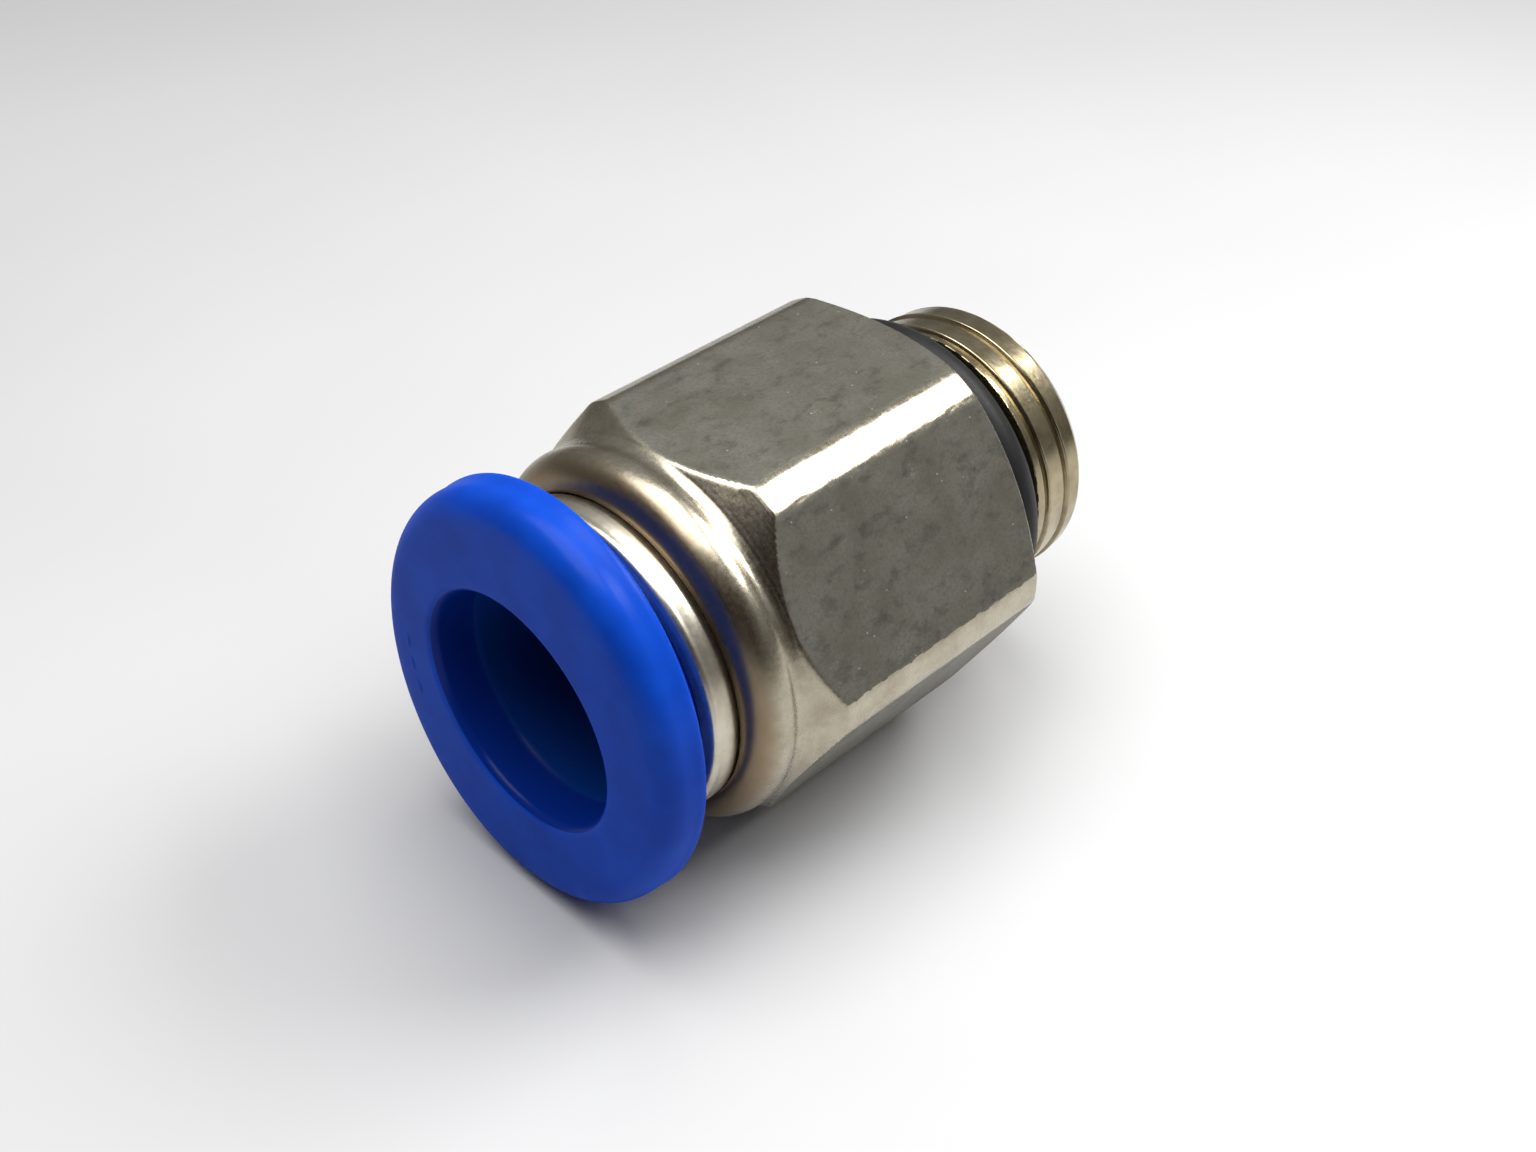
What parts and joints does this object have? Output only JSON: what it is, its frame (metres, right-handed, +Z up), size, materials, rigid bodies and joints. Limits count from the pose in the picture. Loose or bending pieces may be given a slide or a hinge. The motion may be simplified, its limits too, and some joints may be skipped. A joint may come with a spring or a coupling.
{
  "type": "push to connect fitting",
  "caption": "Straight male push-in pneumatic fitting: plated brass hex body with parallel thread and O-ring, sprung claws and a blue release button for 10 mm tube.",
  "frame": {"origin": "under the middle of the fitting's length, on the surface that it rests on", "axes": "+X along the fitting's axis, from the tube end to the thread end; +Z up, square to the top wrench flat"},
  "size_m": [0.028, 0.0188, 0.0201],
  "materials": {
    "nickel_plated_brass": "nickel plate over brass, satin on the flats and bright on the turned faces",
    "nickel_ring": "bright nickel plate",
    "blue_acetal": "moulded blue acetal with a soft gloss",
    "claw_steel": "stamped stainless spring steel",
    "spacer_acetal": "natural acetal",
    "seal_rubber": "moulded nitrile rubber",
    "o_ring_rubber": "moulded nitrile rubber with a dull sheen"
  },
  "bodies": {
    "fitting_body": {"body": "nickel_plated_brass", "guide_ring": "nickel_ring", "spacer_ring": "spacer_acetal", "tube_seal": "seal_rubber", "thread_o_ring": "o_ring_rubber"},
    "collet": {"claw_ring": "claw_steel"},
    "button": {"release_button": "blue_acetal"},
    "claw_01": {"claw_01": "claw_steel"},
    "claw_02": {"claw_02": "claw_steel"},
    "claw_03": {"claw_03": "claw_steel"},
    "claw_04": {"claw_04": "claw_steel"},
    "claw_05": {"claw_05": "claw_steel"},
    "claw_06": {"claw_06": "claw_steel"},
    "claw_07": {"claw_07": "claw_steel"},
    "claw_08": {"claw_08": "claw_steel"},
    "claw_09": {"claw_09": "claw_steel"},
    "claw_10": {"claw_10": "claw_steel"},
    "claw_11": {"claw_11": "claw_steel"},
    "claw_12": {"claw_12": "claw_steel"}
  },
  "joints": [
    {"name": "collet_spin", "type": "hinge", "parent": "fitting_body", "child": "collet", "pos_m": [-0.00425, 0, 0.01007], "axis": [1, 0, 0], "continuous": true},
    {"name": "button_slide", "type": "slide", "parent": "collet", "child": "button", "axis": [1, 0, 0], "range_m": [0, 0.0015], "stiffness_N_per_m": 300},
    {"name": "claw_01_flex", "type": "hinge", "parent": "collet", "child": "claw_01", "pos_m": [-0.00425, 0.00158, 0.00418], "axis": [0, 0.9659, 0.2588], "range_deg": [0, 13.5]},
    {"name": "claw_02_flex", "type": "hinge", "parent": "collet", "child": "claw_02", "pos_m": [-0.00425, 0.00431, 0.00576], "axis": [0, 0.7071, 0.7071], "range_deg": [0, 13.5]},
    {"name": "claw_03_flex", "type": "hinge", "parent": "collet", "child": "claw_03", "pos_m": [-0.00425, 0.00589, 0.00849], "axis": [0, 0.2588, 0.9659], "range_deg": [0, 13.5]},
    {"name": "claw_04_flex", "type": "hinge", "parent": "collet", "child": "claw_04", "pos_m": [-0.00425, 0.00589, 0.01165], "axis": [0, -0.2588, 0.9659], "range_deg": [0, 13.5]},
    {"name": "claw_05_flex", "type": "hinge", "parent": "collet", "child": "claw_05", "pos_m": [-0.00425, 0.00431, 0.01438], "axis": [0, -0.7071, 0.7071], "range_deg": [0, 13.5]},
    {"name": "claw_06_flex", "type": "hinge", "parent": "collet", "child": "claw_06", "pos_m": [-0.00425, 0.00158, 0.01596], "axis": [0, -0.9659, 0.2588], "range_deg": [0, 13.5]},
    {"name": "claw_07_flex", "type": "hinge", "parent": "collet", "child": "claw_07", "pos_m": [-0.00425, -0.00158, 0.01596], "axis": [0, -0.9659, -0.2588], "range_deg": [0, 13.5]},
    {"name": "claw_08_flex", "type": "hinge", "parent": "collet", "child": "claw_08", "pos_m": [-0.00425, -0.00431, 0.01438], "axis": [0, -0.7071, -0.7071], "range_deg": [0, 13.5]},
    {"name": "claw_09_flex", "type": "hinge", "parent": "collet", "child": "claw_09", "pos_m": [-0.00425, -0.00589, 0.01165], "axis": [0, -0.2588, -0.9659], "range_deg": [0, 13.5]},
    {"name": "claw_10_flex", "type": "hinge", "parent": "collet", "child": "claw_10", "pos_m": [-0.00425, -0.00589, 0.00849], "axis": [0, 0.2588, -0.9659], "range_deg": [0, 13.5]},
    {"name": "claw_11_flex", "type": "hinge", "parent": "collet", "child": "claw_11", "pos_m": [-0.00425, -0.00431, 0.00576], "axis": [0, 0.7071, -0.7071], "range_deg": [0, 13.5]},
    {"name": "claw_12_flex", "type": "hinge", "parent": "collet", "child": "claw_12", "pos_m": [-0.00425, -0.00158, 0.00418], "axis": [0, 0.9659, -0.2588], "range_deg": [0, 13.5]}
  ],
  "couplings": [
    {"joint": "claw_01_flex", "follows": "button_slide", "rad_per_m": 151.26},
    {"joint": "claw_02_flex", "follows": "button_slide", "rad_per_m": 151.26},
    {"joint": "claw_03_flex", "follows": "button_slide", "rad_per_m": 151.26},
    {"joint": "claw_04_flex", "follows": "button_slide", "rad_per_m": 151.26},
    {"joint": "claw_05_flex", "follows": "button_slide", "rad_per_m": 151.26},
    {"joint": "claw_06_flex", "follows": "button_slide", "rad_per_m": 151.26},
    {"joint": "claw_07_flex", "follows": "button_slide", "rad_per_m": 151.26},
    {"joint": "claw_08_flex", "follows": "button_slide", "rad_per_m": 151.26},
    {"joint": "claw_09_flex", "follows": "button_slide", "rad_per_m": 151.26},
    {"joint": "claw_10_flex", "follows": "button_slide", "rad_per_m": 151.26},
    {"joint": "claw_11_flex", "follows": "button_slide", "rad_per_m": 151.26},
    {"joint": "claw_12_flex", "follows": "button_slide", "rad_per_m": 151.26}
  ]
}
